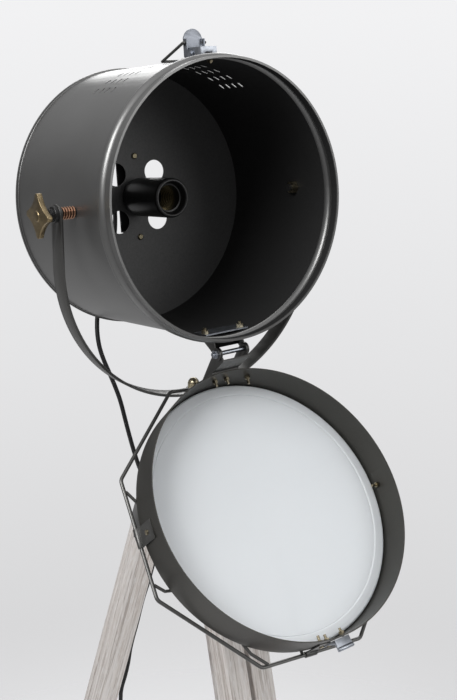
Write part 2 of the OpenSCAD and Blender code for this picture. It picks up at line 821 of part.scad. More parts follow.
module latch_bail() {
    arm = bail_len;
    color(GUNMETAL) head_frame() translate([0, bail_up, bail_fwd]) rotate([-bail_rest, 0, 0]) {
        for (s = [-1, 1]) {
            translate([s * bail_half, 0, -arm]) cylinder(h = arm, r = bail_wire_r, $fn = 24);
            translate([s * bail_half, 0, 0]) sphere(r = bail_wire_r, $fn = 24);
            translate([s * bail_half, 0, -arm]) sphere(r = bail_wire_r, $fn = 24);
            mirror([s < 0 ? 1 : 0, 0, 0]) translate([ear_in - part_gap / 2, 0, 0])
                rotate([0, 90, 0])
                cylinder(h = bail_half - ear_in + part_gap / 2, r = bail_wire_r, $fn = 24);
        }
        translate([-bail_half, 0, -arm]) rotate([0, 90, 0])
            cylinder(h = 2 * bail_half, r = bail_wire_r, $fn = 24);
    }
}

// ======== Hinge ========

module hinge_bracket() {
    rear_end = [-hinge_drop, hinge_fwd - hinge_ear_r];
    rear_top = [cheek_up, bracket_rear];
    web_top = [-bracket_base_r, bracket_rear];
    web_end = rear_top + web_share * (rear_end - rear_top);
    inset = [0.2, hinge_t];
    color(GUNMETAL) head_frame() difference() {
        union() {
            // Base rolled to the drum's wall
            intersection() {
                rotate_extrude($fn = 180) translate([drum_r + skin, bracket_rear])
                    square([hinge_t, bracket_front - bracket_rear]);
                translate([-bracket_half, -2 * drum_r, bracket_rear])
                    cube([2 * bracket_half, 2 * drum_r, bracket_front - bracket_rear]);
            }
            for (s = [-1, 1]) translate([s > 0 ? bracket_in : -bracket_out, 0, 0])
                rotate([90, 0, 90]) linear_extrude(hinge_t) {
                    polygon([
                        rear_top, [cheek_up, bracket_front], [-hinge_drop, hinge_fwd],
                        [-hinge_drop - hinge_ear_r, hinge_fwd], rear_end
                    ]);
                    translate([-hinge_drop, hinge_fwd]) circle(r = hinge_ear_r, $fn = 48);
                }
            // Web across the rear of the cheeks
            translate([-bracket_out, 0, 0]) rotate([90, 0, 90])
                linear_extrude(2 * bracket_out)
                polygon([web_top, web_end, web_end + inset, web_top + inset]);
        }
        translate([-2 * leaf_w, -hinge_drop, hinge_fwd]) rotate([0, 90, 0])
            cylinder(h = 4 * leaf_w, r = hinge_pin_r + skin, $fn = 32);
        for (s = [-1, 1]) translate([s * hinge_screw_x, 0, hinge_screw_fwd]) rotate([90, 0, 0])
            cylinder(h = drum_r + hinge_t + cut, r = screw_r + screw_fit, $fn = 24);
    }
}

module hinge_backing() {
    color(ZINC) head_frame() difference() {
        translate([-backing_half, backing_up, bracket_rear + 2])
            cube([2 * backing_half, hinge_t, bracket_front - bracket_rear - 2]);
        for (s = [-1, 1]) translate([s * hinge_screw_x, 0, hinge_screw_fwd]) rotate([90, 0, 0])
            cylinder(h = drum_r, r = screw_r + screw_fit, $fn = 24);
    }
}

module hinge_screws() {
    rim = hinge_screw_x - 1.8 * screw_r;
    seat = sqrt(pow(drum_r + skin + hinge_t, 2) - rim * rim) + skin;
    nut_seat = -backing_up - hinge_t;
    color(BRASS) head_frame() for (s = [-1, 1])
        translate([s * hinge_screw_x, 0, hinge_screw_fwd]) rotate([90, 0, 0]) {
            translate([0, 0, seat]) pan_screw(screw_r - skin, seat - nut_seat + 6);
            translate([0, 0, nut_seat - 3.2]) hex_nut(7, 3.2, screw_r);
        }
}

module hinge_pin() {
    color(ZINC) head_frame() translate([-bracket_out, -hinge_drop, hinge_fwd])
        rotate([0, 90, 0]) {
            translate([0, 0, -pin_head_t - 2.5])
                cylinder(h = 2 * bracket_out + pin_head_t + 3.5, r = hinge_pin_r, $fn = 32);
            translate([0, 0, -pin_head_t - 0.2]) hex_nut(8.5, pin_head_t, hinge_pin_r - skin);
            translate([0, 0, 2 * bracket_out + 0.2])
                cylinder(h = 2.2, r1 = 4.6, r2 = 3.6, $fn = 32);
        }
}

module hinge_leaf() {
    top = -ring_r - skin;
    low = top - leaf_joggle;
    web_rear = hinge_fwd - 3.5;
    color(GUNMETAL) door_frame() difference() {
        union() {
            // Base on the ring
            translate([-leaf_w / 2, top - leaf_base_t, ring_face + 2])
                cube([leaf_w, leaf_base_t, leaf_end - ring_face - 2]);
            // Stepped down to pass under the drum's bead
            translate([-leaf_w / 2, low - leaf_base_t, web_rear])
                cube([leaf_w, leaf_base_t, ring_face + 5 - web_rear]);
            for (s = [-1, 1]) translate([s > 0 ? leaf_w / 2 - hinge_t : -leaf_w / 2, 0, 0])
                rotate([90, 0, 90]) linear_extrude(hinge_t) {
                    polygon([
                        [top - leaf_base_t / 2, leaf_end], [top - leaf_base_t / 2, ring_face + 2],
                        [low - leaf_base_t / 2, ring_face], [low - leaf_base_t / 2, web_rear],
                        [-hinge_drop + hinge_ear_r, web_rear], [-hinge_drop, hinge_fwd - 2],
                        [-hinge_drop - hinge_ear_r, hinge_fwd], [-hinge_drop, ring_face],
                        [top - leaf_base_t - 1.5, leaf_end]
                    ]);
                    translate([-hinge_drop, hinge_fwd]) circle(r = hinge_ear_r, $fn = 48);
                }
        }
        translate([-leaf_w, -hinge_drop, hinge_fwd]) rotate([0, 90, 0])
            cylinder(h = 2 * leaf_w, r = hinge_pin_r + run_fit, $fn = 32);
        for (s = [-1, 1]) translate([s * LEAF_SCREW_X, 0, ring_face + screw_depth - 10])
            rotate([90, 0, 0])
            cylinder(h = ring_r + 10, r = small_r + screw_fit, $fn = 24);
    }
}

// ======== Door ========

module door_ring() {
    color(GUNMETAL) in_ring() difference() {
        rotate_extrude($fn = 180) polygon([
            [ring_r - ring_t, 0], [ring_r, 0], [ring_out, ring_depth],
            [ring_out - ring_lip_w, ring_depth], [ring_out - ring_lip_w, glass_back],
            [ring_out - ring_t, glass_back]
        ]);
        for (turn = HOLDER_TURNS) rotate([0, 0, turn])
            translate([ring_r - 10, 0, holder_depth]) rotate([0, 90, 0])
            cylinder(h = 20, r = small_r + screw_fit, $fn = 24);
        for (clip = CLIPS) rotate([0, 0, side_turn(clip[0])])
            translate([ring_r - 10, 0, screw_depth]) rotate([0, 90, 0])
            cylinder(h = 20, r = small_r + screw_fit, $fn = 24);
        for (s = [-1, 1]) translate([s * LEAF_SCREW_X, -ring_r + 10, screw_depth - 10])
            rotate([90, 0, 0]) cylinder(h = 20, r = small_r + screw_fit, $fn = 24);
        for (x = KEEPER_SCREWS) translate([x, ring_r - 10, screw_depth])
            rotate([-90, 0, 0]) cylinder(h = 20, r = small_r + screw_fit, $fn = 24);
    }
}

// A pressed glass with a raised rim, dished between rim and middle
module lens_glass() {
    inner = glass_r - glass_rim_w;
    dish = 1.2;
    steps = 8;
    color(FROST) in_ring() rotate_extrude($fn = 180) polygon(concat(
        [for (i = [0:steps]) [inner * i / steps,
            glass_back - glass_t - dish * (1 - cos(90 * i / steps))]],
        [for (i = [0:steps]) [
            inner + 2 - 2 * cos(90 * i / steps),
            glass_front + 2 - 2 * sin(90 * i / steps)]],
        [for (i = [0:steps]) [
            glass_r - 3 + 3 * sin(90 * i / steps),
            glass_front + 3 - 3 * cos(90 * i / steps)]],
        [[glass_r, glass_back - skin], [0, glass_back - skin]]
    ));
}

// How far a nut's outer corner would stand in the ring's curved wall, at x from the middle
function nut_sag(x) = 0.15
    + pow(abs(x) + small_nut / 2 / cos(30), 2) / 2 / (ring_r - ring_t);

// A screw through a plate on the ring, with its nut inside; drawn along +Z from the axis
module plated_screw(plate_top, depth, x) {
    translate([0, 0, plate_top]) pan_screw(small_r, ring_screw_len);
    translate([0, 0, ring_wall_at(depth) - ring_t - nut_sag(x) - small_nut_t])
        hex_nut(small_nut, small_nut_t, small_r + skin);
}

module ring_screws() {
    leaf_seat = ring_r + skin + leaf_base_t;
    keeper_seat = ring_r + skin + keeper_base_t;
    clip_seat = ring_wall_at(clip_start) + skin + clip_t;
    color(BRASS) in_ring() {
        for (turn = HOLDER_TURNS) rotate([0, 0, turn]) translate([0, 0, holder_depth])
            rotate([0, 90, 0]) plated_screw(ring_r, holder_depth, 0);
        for (clip = CLIPS) rotate([0, 0, side_turn(clip[0])]) translate([0, 0, screw_depth])
            rotate([0, 90, 0]) plated_screw(clip_seat, screw_depth, 0);
        for (s = [-1, 1]) translate([s * LEAF_SCREW_X, 0, screw_depth - 10])
            rotate([90, 0, 0]) plated_screw(leaf_seat, screw_depth - 10, LEAF_SCREW_X);
        for (x = KEEPER_SCREWS) translate([x, 0, screw_depth]) rotate([-90, 0, 0])
            plated_screw(keeper_seat, screw_depth, x);
    }
}

// Middle line of an eight-sided loop with rounded corners
function octagon_path() =
    let (bend_at = guard_r - wire_bend / cos(22.5))
    [for (k = [0:7], j = [-2:2])
        let (a = guard_turn + 45 * k, b = a + 11.25 * j)
        [bend_at * cos(a) + wire_bend * cos(b), bend_at * sin(a) + wire_bend * sin(b), 0]];

// A tube that closes on itself, in a plane
module loop_tube(path, r, n) {
    m = len(path);
    points = [for (i = [0:m - 1])
        each ring_of(path[i], unit(path[(i + 1) % m] - path[(i + m - 1) % m]), [0, 0, 1], r, n)];
    polyhedron(points = points, faces = [for (i = [0:m - 1], k = [0:n - 1])
        let (j = (i + 1) % m, l = (k + 1) % n) [i * n + k, j * n + k, j * n + l, i * n + l]]);
}

module guard_ring() {
    color(GUNMETAL) in_ring() translate([0, 0, guard_depth]) loop_tube(octagon_path(), wire_r, 12);
}

// Point of a side of the guard, some way along it from its middle
function on_side(k, along) =
    let (a = side_turn(k), flat = guard_r * cos(22.5) - wire_r + weld)
    [flat * cos(a) - along * sin(a), flat * sin(a) + along * cos(a), 0];

// The upright wire is welded across the face of the level one
module guard_wires() {
    thin = wire_r - 0.3;
    across = [0, 0, 2 * thin - weld];
    g = guard_r;
    level = [
        on_side(3, 0.305 * g), [-0.802 * g, -level_drop - 0.036 * g, 0],
        [-0.766 * g, -level_drop - 0.006 * g, 0],
        [-0.719 * g, -level_drop, 0], [0.766 * g, -level_drop, 0],
        [0.814 * g, -level_drop + 0.018 * g, 0], on_side(7, -0.192 * g)
    ];
    upright = [
        on_side(5, 0.126 * g), [2.8 * upright_x, -0.623 * g, 0] + across,
        [2.3 * upright_x, -0.539 * g, 0] + across, [-0.8 * upright_x, 0.359 * g, 0] + across,
        [-upright_x, 0.479 * g, 0] + across, on_side(1, 0.078 * g)
    ];
    color(GUNMETAL) in_ring() translate([0, 0, guard_depth]) {
        tube(level, thin, 10, [0, 0, 1]);
        tube(upright, thin, 10, [0, 0, 1]);
        tube([on_side(3, -0.293 * g), [-0.886 * g, 0.26 * g, 0], [-0.826 * g, 0.272 * g, 0]],
            thin, 10, [0, 0, 1]);
        tube([on_side(1, 0.335 * g), [-0.503 * g, 0.784 * g, 0], [-0.53 * g, 0.713 * g, 0]],
            thin, 10, [0, 0, 1]);
    }
}

// Strips screwed to the ring that curl round the guard's wire
module guard_clips() {
    seat = ring_wall_at(clip_start) + skin;
    flat = guard_r * cos(22.5);
    root = guard_depth - wire_r - clip_t / 2;
    color(GUNMETAL) in_ring() for (clip = CLIPS) rotate([0, 0, side_turn(clip[0])]) {
        low = clip[1] * clip_half;
        width = clip[2] * clip_half - low;
        difference() {
            translate([0, low, 0]) {
                translate([seat, 0, clip_start]) cube([clip_t, width, root - clip_start]);
                // The strip turns out to the wire, then curls round it
                translate([seat, 0, root - clip_t]) cube([max(clip_t, flat - seat), width, clip_t]);
                translate([flat, 0, guard_depth]) rotate([-90, 0, 0])
                    cylinder(h = width, r = wire_r + clip_t, $fn = 32);
            }
            translate([flat, low - cut, guard_depth]) rotate([-90, 0, 0])
                cylinder(h = width + 2 * cut, r = wire_r + skin, $fn = 32);
            translate([seat - cut, 0, screw_depth]) rotate([0, 90, 0])
                cylinder(h = clip_t + 2 * cut, r = small_r + screw_fit, $fn = 24);
        }
    }
}

module latch_keeper() {
    foot = ring_r + skin;
    color(ZINC) in_ring() difference() {
        union() {
            translate([-keeper_w / 2, foot, keeper_at])
                cube([keeper_w, keeper_base_t, screw_depth + 6 - keeper_at]);
            // Ear for the second screw
            translate([0, foot, screw_depth - 5]) cube([keeper_base_w, keeper_base_t, 10]);
            translate([-keeper_w / 2, foot, keeper_at]) cube([keeper_w, keeper_h - 2, keeper_t]);
            // Rolled top edge
            translate([-keeper_w / 2, foot + keeper_h - 2.2, keeper_at]) rotate([0, 90, 0])
                cylinder(h = keeper_w, r = 2.2, $fn = 32);
            // Low side flanges that stiffen the upright
            for (s = [-1, 1]) translate([s > 0 ? keeper_w / 2 - keeper_base_t : -keeper_w / 2, 0, 0])
                rotate([90, 0, 90]) linear_extrude(keeper_base_t) polygon([
                    [foot, keeper_at], [foot + keeper_h * 0.4, keeper_at],
                    [foot + 2, keeper_at + 13], [foot, keeper_at + 13]
                ]);
        }
        for (x = KEEPER_SCREWS) translate([x, foot - cut, screw_depth])
            rotate([-90, 0, 0]) cylinder(h = 10, r = small_r + screw_fit, $fn = 24);
    }
}

// ======== Stand: neck and hub ========

module pan_stud() {
    low = hub_bottom - post_len - nut_h - 3;
    high = pan_seat + pan_washer_t + nut_h + 1;
    color(ZINC) about_axis() translate([0, 0, low])
        cylinder(h = high - low, r = pan_stud_r, $fn = 32);
}

module pan_nuts() {
    over = pan_seat + pan_washer_t;
    color(BRASS) about_axis() {
        translate([0, 0, over]) hex_nut(hex_af, nut_h, pan_stud_r + skin);
        translate([0, 0, over + nut_h]) difference() {
            intersection() {
                translate([0, 0, acorn_rise - hex_af / 2]) sphere(r = hex_af / 2, $fn = 48);
                cylinder(h = hex_af, r = hex_af, $fn = 32);
            }
            translate([0, 0, -cut]) cylinder(h = cut + 1.2, r = pan_stud_r + skin, $fn = 32);
        }
        translate([0, 0, hub_bottom - post_len - nut_h])
            hex_nut(hex_af, nut_h, pan_stud_r + skin);
    }
}

module washer(r, bore_r, h) {
    difference() {
        cylinder(h = h, r = r, $fn = 48);
        translate([0, 0, -cut]) cylinder(h = h + 2 * cut, r = bore_r, $fn = 32);
    }
}

module pan_washers() {
    color(BLACK) about_axis() {
        translate([0, 0, pan_seat]) washer(pan_washer_r, pan_stud_r + screw_fit, pan_washer_t);
        translate([0, 0, neck_top])
            washer(neck_top_r - 2, pan_stud_r + screw_fit, pan_washer_t);
    }
}

module neck() {
    h = neck_top - hub_top;
    color(GUNMETAL) about_axis() translate([0, 0, hub_top]) rotate_extrude($fn = 96) difference() {
        union() {
            square([neck_r, h]);
            square([neck_foot_r, neck_flange_t]);
            translate([0, h - neck_flange_t]) square([neck_top_r, neck_flange_t]);
            translate([neck_r, neck_flange_t]) difference() {
                square([4, 4]);
                translate([4, 4]) circle(r = 4, $fn = 48);
            }
        }
        translate([-cut, -cut]) square([pan_stud_r + screw_fit + cut, h + 2 * cut]);
    }
}

// A plate with a post and three tongues that stand between the battens
module hub() {
    color(GUNMETAL) about_axis() difference() {
        union() {
            translate([0, 0, hub_bottom]) rotate_extrude($fn = 96) polygon([
                [0, 0], [hub_r - 1, 0], [hub_r, 1], [hub_r, hub_t - 2], [hub_r - 2, hub_t],
                [0, hub_t]
            ]);
            translate([0, 0, hub_bottom - post_len])
                cylinder(h = post_len + 1, r = hub_post_r, $fn = 64);
            for (turn = LEG_TURNS) rotate([0, 0, turn]) rotate([90, 0, 0])
                linear_extrude(tongue_t, center = true) {
                    translate([0, fold_z - tongue_ear_r])
                        square([fold_r, hub_bottom + 1 - fold_z + tongue_ear_r]);
                    translate([fold_r, fold_z]) circle(r = tongue_ear_r, $fn = 48);
                    translate([fold_r, fold_z])
                        square([tongue_ear_r, hub_bottom + 1 - fold_z]);
                }
        }
        for (turn = LEG_TURNS) rotate([0, 0, turn]) translate([fold_r, 0, fold_z])
            rotate([90, 0, 0]) cylinder(h = 2 * batten_gap, r = fold_bolt_r + run_fit,
                center = true, $fn = 48);
        translate([0, 0, hub_bottom - post_len - cut])
            cylinder(h = post_len + hub_t + 2 * cut, r = pan_stud_r + screw_fit, $fn = 32);
    }
}

// ======== Stand: legs ========

module leg_bores(half) {
    rotate([90, 0, 0]) cylinder(h = 2 * half, r = fold_bolt_r + screw_fit, center = true, $fn = 32);
    translate([0, 0, -clamp_bolt_drop]) rotate([90, 0, 0])
        cylinder(h = 2 * half, r = clamp_bolt_r + screw_fit, center = true, $fn = 32);
}

module leg_sleeve(i) {
    x_out = batten_t / 2;
    color(GUNMETAL) leg_frame(i) difference() {
        union() {
            translate([x_out + skin, -sleeve_half, -sleeve_len])
                cube([sleeve_t, 2 * sleeve_half, sleeve_len + leg_head]);
            for (s = [-1, 1]) translate([-x_out, s > 0 ? leg_w / 2 + skin : -sleeve_half, -sleeve_len])
                cube([batten_t + skin + sleeve_t, sleeve_t - skin, sleeve_len + leg_head]);
        }
        leg_bores(sleeve_half + cut);
    }
}

module leg_battens(i) {
    color(WOOD) leg_frame(i) difference() {
        for (s = [-1, 1]) translate([-batten_t / 2, s > 0 ? batten_gap / 2 : -leg_w / 2, -leg_len - batten_t])
            cube([batten_t, batten_w, leg_len + batten_t + leg_head]);
        leg_bores(sleeve_half);
        // Cut level to stand on the foot
        translate([0, 0, -leg_len]) rotate([0, leg_splay, 0])
            translate([-2 * batten_t, -leg_w, -2 * batten_t]) cube([4 * batten_t, 2 * leg_w, 2 * batten_t]);
    }
}

module leg_spacers(i) {
    block = 70;
    color(WOOD) leg_frame(i) for (z = [-leg_len + 12, -leg_len / 2])
        translate([-batten_t / 2 + 1, -batten_gap / 2 + skin, z])
            cube([batten_t - 2, batten_gap - 2 * skin, block]);
}

module cross_bolt(r, half, af) {
    rotate([90, 0, 0]) {
        cylinder(h = 2 * (half + 1), r = r, center = true, $fn = 32);
        translate([0, 0, half + skin]) cylinder(h = r * 1.3, r = af / 2 / cos(30), $fn = 6);
        mirror([0, 0, 1]) translate([0, 0, half + skin]) hex_nut(af, r * 1.6, r - skin);
    }
}

module leg_bolts(i) {
    color(ZINC) leg_frame(i) {
        cross_bolt(fold_bolt_r, sleeve_half, hex_af);
        translate([0, 0, -clamp_bolt_drop]) cross_bolt(clamp_bolt_r, sleeve_half, 10);
    }
}

module foot(i) {
    round = 2;
    color(RUBBER) about_axis() rotate([0, 0, LEG_TURNS[i - 1]])
        translate([foot_r, 0, 0]) linear_extrude(foot_h) {
            square([2 * foot_half, leg_w - 2 * round], center = true);
            square([2 * (foot_half - round), leg_w], center = true);
            for (sx = [-1, 1], sy = [-1, 1])
                translate([sx * (foot_half - round), sy * (leg_w / 2 - round)])
                    circle(r = round, $fn = 24);
        }
}

module leg_sleeve_1() { leg_sleeve(1); }
module leg_sleeve_2() { leg_sleeve(2); }
module leg_sleeve_3() { leg_sleeve(3); }
module leg_battens_1() { leg_battens(1); }
module leg_battens_2() { leg_battens(2); }
module leg_battens_3() { leg_battens(3); }
module leg_spacers_1() { leg_spacers(1); }
module leg_spacers_2() { leg_spacers(2); }
module leg_spacers_3() { leg_spacers(3); }
module leg_bolts_1() { leg_bolts(1); }
module leg_bolts_2() { leg_bolts(2); }
module leg_bolts_3() { leg_bolts(3); }
module foot_1() { foot(1); }
module foot_2() { foot(2); }
module foot_3() { foot(3); }

// ======== Flex ========

// Points on a smooth curve through a list of points
function spline(p, a, b, c, t) = 0.5 * (2 * a + (b - p) * t
    + (2 * p - 5 * a + 4 * b - c) * t * t + (3 * a - p - 3 * b + c) * t * t * t);
function smooth(pts, n) =
    let (m = len(pts) - 1)
    [for (i = [0:m - 1], k = [0:n - 1]) spline(pts[max(i - 1, 0)], pts[i], pts[i + 1],
        pts[min(i + 2, m)], k / n), pts[m]];

// A point straight behind the gland's mouth
function behind_gland(d) = let (fwd = gland_end - d)
    [0, stand_y - fwd * cos(head_tilt), pivot_z + fwd * sin(head_tilt)];

// A point of the bend below the gland, where the flex has turned through an angle
function flex_bend(a) = behind_gland(5) + flex_bend_r * (
    sin(a) * [0, cos(head_tilt), -sin(head_tilt)] + (1 - cos(a)) * [sin(flex_lean),
    -cos(flex_lean) * sin(head_tilt), -cos(flex_lean) * cos(head_tilt)]);

module flex_upper() {
    color(BLACK) tube(concat([behind_gland(2 * part_gap), behind_gland(5)],
        [for (a = [16:16:80]) flex_bend(a)], FLEX_UPPER,
        [SWITCH_TOP + [0, 0, 5], SWITCH_TOP + [0, 0, 2 * part_gap]]),
        flex_r, 8, [1, 0.2, 0.1]);
}

module flex_lower() {
    start = SWITCH_TOP - [0, 0, switch_len + 2 * switch_cone + 2 * part_gap];
    color(BLACK) tube(smooth(concat([start, start - [0, 0, 4]], FLEX_LOWER), 2), flex_r, 8,
        [1, 0.3, -0.2]);
}

module flex_tail() {
    color(BLACK) tube(smooth(FLEX_TAIL, 3), flex_r, 8, [0, 0, 1]);
}

module flex_coil() {
    color(BLACK) translate(COIL_AT + [0, 0, coil_lift]) rotate_extrude($fn = 64)
        translate([coil_r - coil_half, 0]) square([2 * coil_half, coil_h]);
}

// A slim switch with a rocker in its front, cones round the flex at both ends
module switch_frame() {
    translate(SWITCH_TOP - [0, 0, switch_cone + switch_len / 2]) children();
}

module inline_switch() {
    color(BLACK) switch_frame() difference() {
        union() {
            linear_extrude(switch_len, center = true) {
                square([switch_w - 6, switch_d], center = true);
                square([switch_w, switch_d - 6], center = true);
                for (sx = [-1, 1], sy = [-1, 1])
                    translate([sx * (switch_w / 2 - 3), sy * (switch_d / 2 - 3)])
                        circle(r = 3, $fn = 32);
            }
            for (s = [0, 1]) mirror([0, 0, s]) translate([0, 0, switch_len / 2])
                cylinder(h = switch_cone, r1 = 7, r2 = flex_r + 0.8, $fn = 48);
        }
        translate([-rocker_w / 2 - part_gap, -switch_d, -rocker_h / 2 - 2 * part_gap])
            cube([rocker_w + 2 * part_gap, switch_d - 2, rocker_h + 4 * part_gap]);
    }
}

module switch_rocker() {
    color(ZINC) switch_frame() translate([0, rocker_at, 0]) rotate([6, 0, 0])
        rotate([90, 0, 90]) linear_extrude(rocker_w, center = true) polygon([
            [-2.5, -rocker_h / 2 + 0.5], [-1.6, 0], [-2.5, rocker_h / 2 - 0.5],
            [2, rocker_h / 2 - 1], [3.4, 0], [2, -rocker_h / 2 + 1]
        ]);
}

// A flat two-pin plug lying on the floor, its pins along +x
module plug_frame() {
    translate(FLEX_TAIL[len(FLEX_TAIL) - 1]) rotate([0, 0, PLUG_TURN]) children();
}

module plug() {
    color(BLACK) plug_frame() {
        translate([plug_boot - 1, 0, 0]) rotate([0, 0, 90]) linear_extrude(13.6, center = true)
            polygon([
                [-6, 0], [6, 0], [plug_half - 3, -9], [plug_half, -13], [plug_half, -plug_len],
                [-plug_half, -plug_len], [-plug_half, -13], [3 - plug_half, -9]
            ]);
        rotate([0, 90, 0]) cylinder(h = plug_boot, r1 = flex_r + 0.7, r2 = 5.2, $fn = 48);
    }
}

module plug_pins() {
    color(BRASS) plug_frame() for (s = [-1, 1])
        translate([plug_boot - 1 + plug_len, s * pin_pitch / 2, 0]) rotate([0, 90, 0]) {
            cylinder(h = 18, r = 2, $fn = 32);
            translate([0, 0, 18]) cylinder(h = 1, r1 = 2, r2 = 1.2, $fn = 32);
        }
}

drum_shell();
back_plate();
lampholder_strap();
strap_screws();
lampholder();
lamp_contacts();
lamp_nipple();
pivot_nuts();
pivot_springs();
latch_base();
latch_screws();
hinge_bracket();
hinge_backing();
hinge_screws();
hinge_pin();
cord_gland();
latch_lever();
latch_lever_pin();
latch_bail();
door_ring();
lens_glass();
ring_screws();
guard_ring();
guard_wires();
guard_clips();
latch_keeper();
hinge_leaf();
yoke();
flex_upper();
inline_switch();
switch_rocker();
knob_left();
knob_right();
stud_left();
stud_right();
pan_stud();
pan_nuts();
pan_washers();
neck();
hub();
flex_lower();
flex_coil();
flex_tail();
plug();
plug_pins();
leg_sleeve_1();
leg_battens_1();
leg_spacers_1();
leg_bolts_1();
foot_1();
leg_sleeve_2();
leg_battens_2();
leg_spacers_2();
leg_bolts_2();
foot_2();
leg_sleeve_3();
leg_battens_3();
leg_spacers_3();
leg_bolts_3();
foot_3();
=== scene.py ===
"""Tripod floor lamp like a stage searchlight, dressed for the render.

The pieces come from the CAD frame. This script paints them, breaks the edges that catch light,
draws the flex as two swept cords, and adds the camera, the lights and a floor. Lengths are in
metres, except for the coil and the cords' points, which are in millimetres like the CAD.
"""
import json
import math

import bmesh
import bpy
from mathutils import Matrix, Vector


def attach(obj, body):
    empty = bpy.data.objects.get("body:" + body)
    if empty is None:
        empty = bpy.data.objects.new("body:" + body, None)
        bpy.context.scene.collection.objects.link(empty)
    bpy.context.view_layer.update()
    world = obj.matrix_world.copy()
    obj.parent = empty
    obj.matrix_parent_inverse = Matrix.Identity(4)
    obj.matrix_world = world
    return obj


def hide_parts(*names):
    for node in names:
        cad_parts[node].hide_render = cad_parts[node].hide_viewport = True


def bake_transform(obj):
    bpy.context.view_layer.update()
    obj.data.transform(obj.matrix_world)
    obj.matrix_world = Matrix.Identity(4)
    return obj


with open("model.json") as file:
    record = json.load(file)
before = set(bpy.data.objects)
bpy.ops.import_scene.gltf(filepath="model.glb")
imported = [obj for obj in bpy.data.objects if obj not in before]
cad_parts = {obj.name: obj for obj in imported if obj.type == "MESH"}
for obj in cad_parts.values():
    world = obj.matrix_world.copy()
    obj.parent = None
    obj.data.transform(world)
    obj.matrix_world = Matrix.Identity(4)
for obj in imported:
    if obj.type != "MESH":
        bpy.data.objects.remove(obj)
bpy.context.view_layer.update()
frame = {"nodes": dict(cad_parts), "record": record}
NODES = frame["nodes"]
scene = bpy.context.scene

AXIS_Y = 0.0642                 # the turning axis of the yoke
TILT_Z = 1.290                  # height of the axis that the head tilts on
TILT = math.radians(6.3)        # the head's pose in the photograph
PIVOT = Vector((0, AXIS_Y, TILT_Z))

# ---------------------------------------------------------------- camera
EYE_FROM_PIVOT = (-0.6984, -0.9991, 0.1982)
cam_data = bpy.data.cameras.new("camera")
camera = bpy.data.objects.new("camera", cam_data)
scene.collection.objects.link(camera)
right = Vector((0.793, -0.609, 0.005)).normalized()
forward = Vector((0.5913, 0.7676, -0.2472)).normalized()
up = right.cross(forward).normalized()
right = forward.cross(up).normalized()
eye = [p + d for p, d in zip(PIVOT, EYE_FROM_PIVOT)]
camera.matrix_world = Matrix((
    (right.x, up.x, -forward.x, eye[0]),
    (right.y, up.y, -forward.y, eye[1]),
    (right.z, up.z, -forward.z, eye[2]),
    (0, 0, 0, 1)))
cam_data.sensor_width = 36
cam_data.lens = 57.13
cam_data.shift_x = -0.0206
cam_data.shift_y = -0.0752
cam_data.clip_start = 0.05
scene.camera = camera


# ---------------------------------------------------------------- helpers
def link(obj):
    scene.collection.objects.link(obj)
    return obj


def mesh_object(name, verts, faces, smooth=True):
    mesh = bpy.data.meshes.new(name)
    mesh.from_pydata([tuple(v) for v in verts], [], faces)
    mesh.validate()
    if smooth:
        mesh.shade_smooth()
    return link(bpy.data.objects.new(name, mesh))


def metres(points):
    """Points given in millimetres, in metres."""
    return [tuple(c / 1000 for c in p) for p in points]


def catmull(points, n):
    """A smooth line through the points, n steps from each to the next."""
    p = [Vector(q) for q in points]
    p = [2 * p[0] - p[1]] + p + [2 * p[-1] - p[-2]]
    line = []
    for i in range(1, len(p) - 2):
        a, b, c, d = p[i - 1:i + 3]
        for k in range(n):
            t = k / n
            line.append(0.5 * (2 * b + (c - a) * t + (2 * a - 5 * b + 4 * c - d) * t * t
                               + (3 * b - a - 3 * c + d) * t ** 3))
    return line + [p[-2]]


def even_out(line, passes=4):
    """Even out the bends, and leave both ends straight."""
    for _ in range(passes):
        middle = zip(line[2:], line[3:], line[4:-2])
        line = line[:3] + [(a + 2 * b + c) / 4 for a, b, c in middle] + line[-3:]
    return line


def sweep(name, line, radius, sides=16):
    """A closed round tube along a line, its rings carried along without twist."""
    verts, faces = [], []
    heading = (line[1] - line[0]).normalized()
    side = heading.orthogonal().normalized()
    rings = len(line)
    for i, p in enumerate(line):
        new = (line[min(i + 1, rings - 1)] - line[max(i - 1, 0)]).normalized()
        side = heading.rotation_difference(new) @ side
        side = (side - side.dot(new) * new).normalized()
        heading = new
        other = heading.cross(side)
        for k in range(sides):
            a = 2 * math.pi * k / sides
            verts.append(p + radius * (math.cos(a) * side + math.sin(a) * other))
    for i in range(rings - 1):
        for k in range(sides):
            a, b = i * sides + k, i * sides + (k + 1) % sides
            faces.append((a, b, b + sides, a + sides))
    faces.append(tuple(range(sides - 1, -1, -1)))
    faces.append(tuple(range((rings - 1) * sides, rings * sides)))
    return mesh_object(name, verts, faces)


# ---------------------------------------------------------------- flex
FLEX_R = 0.0027
GLAND_END = 0.1460              # from the tilt axis back to the end of the gland
FLEX_STARTS = 0.0006            # behind the gland's end
FLEX_BENDS = 0.005              # behind the gland's end
FLEX_BEND_R = 0.025
FLEX_LEAN = math.radians(10)    # the bend leans from the vertical, towards +X
BEND_AT = range(16, 81, 16)     # degrees through the bend
FINE, COARSE = 6, 2             # steps between points, on the open run and in the coil

# Millimetres from here to FLEX_TAIL
COIL_AT = (-62, 196)
COIL_START = (-97.7, 196, 3.8)
COIL_TURNS = 7.5
COIL_STEPS = 16                 # points in one turn
COIL_R = 24.75                  # the innermost turn
COIL_Z = 3.8                    # the lowest layer
COIL_PITCH = 5.5                # from turn to turn and from layer to layer
COIL_CLIMB = 0.5                # part of a turn in which it climbs to the next layer

